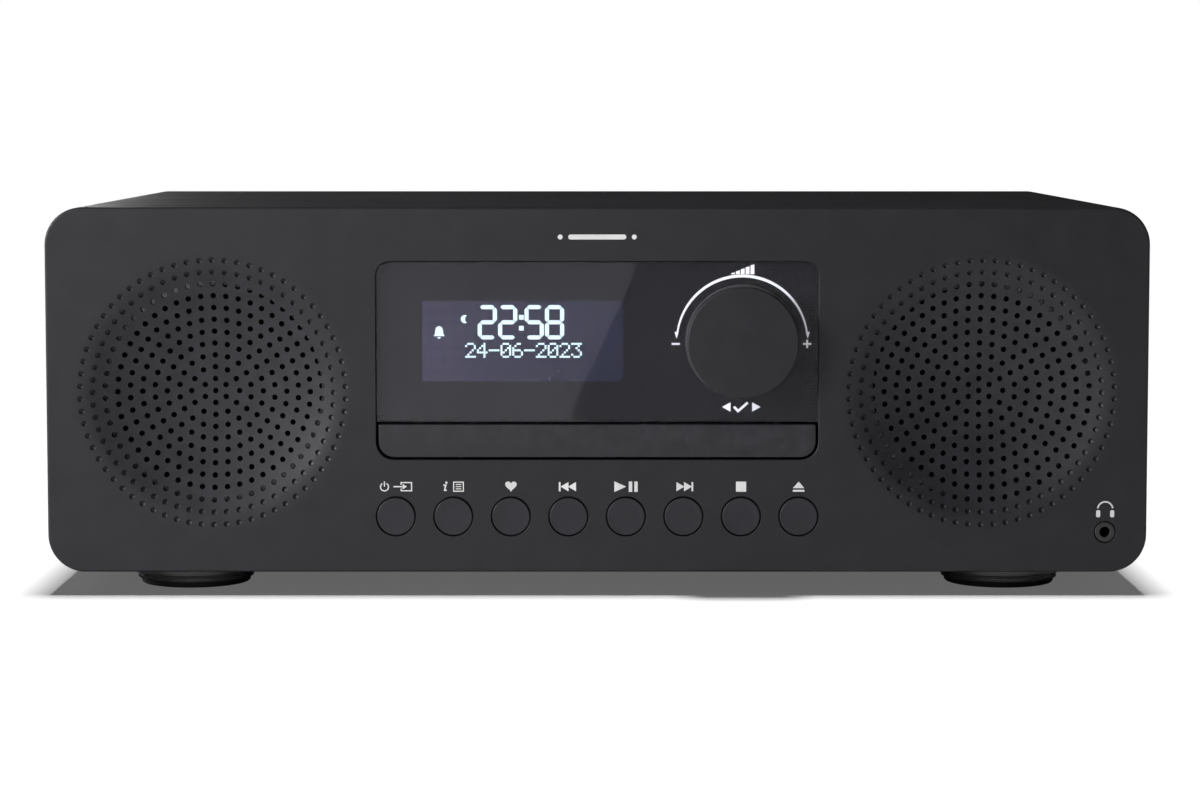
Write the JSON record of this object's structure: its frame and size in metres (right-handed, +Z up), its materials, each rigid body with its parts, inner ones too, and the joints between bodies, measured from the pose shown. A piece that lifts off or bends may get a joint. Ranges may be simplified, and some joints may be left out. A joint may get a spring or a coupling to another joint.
{
  "type": "tabletop radio",
  "caption": "Wide black tabletop radio with dished round grilles, a glossy display lens, a big volume knob, a disc drawer, round keys, round feet and a folding rear aerial.",
  "frame": {"origin": "on the table under the middle of the object's box", "axes": "front faces -Y, +X is to the right seen from the front, +Z up"},
  "size_m": [0.4, 0.246, 0.1414],
  "materials": {
    "cabinet": "fine matt black coating",
    "panel": "moulded matt black plastic",
    "foot": "gloss black plastic",
    "rubber": "matt black rubber",
    "lens": "gloss dark tinted acrylic",
    "lcd": "backlit liquid crystal display",
    "knob": "fine matt black plastic with a bevelled edge",
    "board": "green circuit board",
    "inner_plastic": "moulded dark grey plastic",
    "white_plastic": "moulded white plastic",
    "steel": "zinc plated steel",
    "chrome": "polished chrome plate",
    "cone": "coated black cone"
  },
  "bodies": {
    "root": {"cabinet_shell": "cabinet", "front_baffle": "cabinet", "rear_panel": "panel", "foot_front_left": "foot", "foot_front_right": "foot", "foot_rear_left": "foot", "foot_rear_right": "foot", "foot_pad_front_left": "rubber", "foot_pad_front_right": "rubber", "foot_pad_rear_left": "rubber", "foot_pad_rear_right": "rubber", "speaker_surround_left": "rubber", "speaker_surround_right": "rubber", "display_lens": "lens", "lcd_panel": "lcd", "display_board": "board", "key_board": "board", "main_board": "board", "display_carrier": "inner_plastic", "encoder_body": "inner_plastic", "loader_chassis": "inner_plastic", "headphone_socket": "inner_plastic", "dc_inlet": "inner_plastic", "aux_socket": "inner_plastic", "clamp_bridge": "steel", "tray_motor": "steel", "usb_socket": "steel", "speaker_driver_left": "steel", "speaker_driver_right": "steel", "rear_screw_upper_left": "steel", "rear_screw_upper_right": "steel", "rear_screw_lower_left": "steel", "rear_screw_lower_right": "steel", "aerial_base": "panel"},
    "tray": {"disc_tray": "panel", "tray_door": "panel"},
    "tray_gear": {"tray_gear": "white_plastic"},
    "knob_press": {"encoder_sleeve": "steel"},
    "knob": {"volume_knob": "knob", "encoder_shaft": "steel"},
    "deck": {"traverse_deck": "steel"},
    "turntable": {"turntable": "white_plastic"},
    "sled": {"laser_sled": "inner_plastic"},
    "sled_gear": {"sled_gear": "white_plastic"},
    "clamp": {"disc_clamp": "white_plastic"},
    "cone_left": {"speaker_cone_left": "cone"},
    "cone_right": {"speaker_cone_right": "cone"},
    "aerial_yoke": {"aerial_yoke": "panel"},
    "aerial_tube": {"aerial_tube": "chrome"},
    "aerial_middle": {"aerial_middle": "chrome"},
    "aerial_rod": {"aerial_rod": "chrome"},
    "power_key": {"power_key": "knob"},
    "info_key": {"info_key": "knob"},
    "favourite_key": {"favourite_key": "knob"},
    "previous_key": {"previous_key": "knob"},
    "play_key": {"play_key": "knob"},
    "next_key": {"next_key": "knob"},
    "stop_key": {"stop_key": "knob"},
    "eject_key": {"eject_key": "knob"}
  },
  "joints": [
    {"name": "tray_slide", "type": "slide", "parent": "root", "child": "tray", "axis": [0, -1, 0], "range_m": [0, 0.13]},
    {"name": "tray_gear_turn", "type": "hinge", "parent": "root", "child": "tray_gear", "pos_m": [0.0424, -0.086, 0.051], "axis": [0, 0, 1], "range_deg": [-780, 0]},
    {"name": "knob_push", "type": "slide", "parent": "root", "child": "knob_press", "axis": [0, 1, 0], "range_m": [0, 0.0008], "stiffness_N_per_m": 1500},
    {"name": "knob_turn", "type": "hinge", "parent": "knob_press", "child": "knob", "pos_m": [0.0526, -0.116, 0.0928], "axis": [0, 1, 0], "continuous": true},
    {"name": "power_press", "type": "slide", "parent": "root", "child": "power_key", "axis": [0, 1, 0], "range_m": [0, 0.0008], "stiffness_N_per_m": 1200},
    {"name": "info_press", "type": "slide", "parent": "root", "child": "info_key", "axis": [0, 1, 0], "range_m": [0, 0.0008], "stiffness_N_per_m": 1200},
    {"name": "favourite_press", "type": "slide", "parent": "root", "child": "favourite_key", "axis": [0, 1, 0], "range_m": [0, 0.0008], "stiffness_N_per_m": 1200},
    {"name": "previous_press", "type": "slide", "parent": "root", "child": "previous_key", "axis": [0, 1, 0], "range_m": [0, 0.0008], "stiffness_N_per_m": 1200},
    {"name": "play_press", "type": "slide", "parent": "root", "child": "play_key", "axis": [0, 1, 0], "range_m": [0, 0.0008], "stiffness_N_per_m": 1200},
    {"name": "next_press", "type": "slide", "parent": "root", "child": "next_key", "axis": [0, 1, 0], "range_m": [0, 0.0008], "stiffness_N_per_m": 1200},
    {"name": "stop_press", "type": "slide", "parent": "root", "child": "stop_key", "axis": [0, 1, 0], "range_m": [0, 0.0008], "stiffness_N_per_m": 1200},
    {"name": "eject_press", "type": "slide", "parent": "root", "child": "eject_key", "axis": [0, 1, 0], "range_m": [0, 0.0008], "stiffness_N_per_m": 1200},
    {"name": "deck_lift", "type": "hinge", "parent": "root", "child": "deck", "pos_m": [0, 0.034, 0.0391], "axis": [-1, 0, 0], "range_deg": [0, 5.5]},
    {"name": "turntable_spin", "type": "hinge", "parent": "deck", "child": "turntable", "pos_m": [0, -0.0407, 0.045], "axis": [0, 0, 1], "continuous": true},
    {"name": "sled_slide", "type": "slide", "parent": "deck", "child": "sled", "axis": [0, 1, 0], "range_m": [0, 0.033]},
    {"name": "sled_gear_turn", "type": "hinge", "parent": "deck", "child": "sled_gear", "pos_m": [-0.0196, 0.0133, 0.0411], "axis": [0, 0, 1], "range_deg": [0, 340]},
    {"name": "clamp_spin", "type": "hinge", "parent": "root", "child": "clamp", "pos_m": [0, -0.0407, 0.066], "axis": [0, 0, 1], "continuous": true},
    {"name": "cone_left_travel", "type": "slide", "parent": "root", "child": "cone_left", "axis": [0, 1, 0], "range_m": [-0.002, 0.002], "stiffness_N_per_m": 1500, "deforming": ["speaker_surround_left"]},
    {"name": "cone_right_travel", "type": "slide", "parent": "root", "child": "cone_right", "axis": [0, 1, 0], "range_m": [-0.002, 0.002], "stiffness_N_per_m": 1500, "deforming": ["speaker_surround_right"]},
    {"name": "aerial_swivel", "type": "hinge", "parent": "root", "child": "aerial_yoke", "pos_m": [0.17, 0.1196, 0.1196], "axis": [0, 1, 0], "range_deg": [0, 180]},
    {"name": "aerial_tilt", "type": "hinge", "parent": "aerial_yoke", "child": "aerial_tube", "pos_m": [0.17, 0.1196, 0.1196], "axis": [0, 0, -1], "range_deg": [0, 90]},
    {"name": "aerial_middle_slide", "type": "slide", "parent": "aerial_tube", "child": "aerial_middle", "axis": [-1, 0, 0], "range_m": [0, 0.14]},
    {"name": "aerial_rod_slide", "type": "slide", "parent": "aerial_middle", "child": "aerial_rod", "axis": [-1, 0, 0], "range_m": [0, 0.14]}
  ],
  "couplings": [
    {"joint": "tray_gear_turn", "follows": "tray_slide", "rad_per_m": -104.17},
    {"joint": "sled_gear_turn", "follows": "sled_slide", "rad_per_m": 178.57}
  ]
}
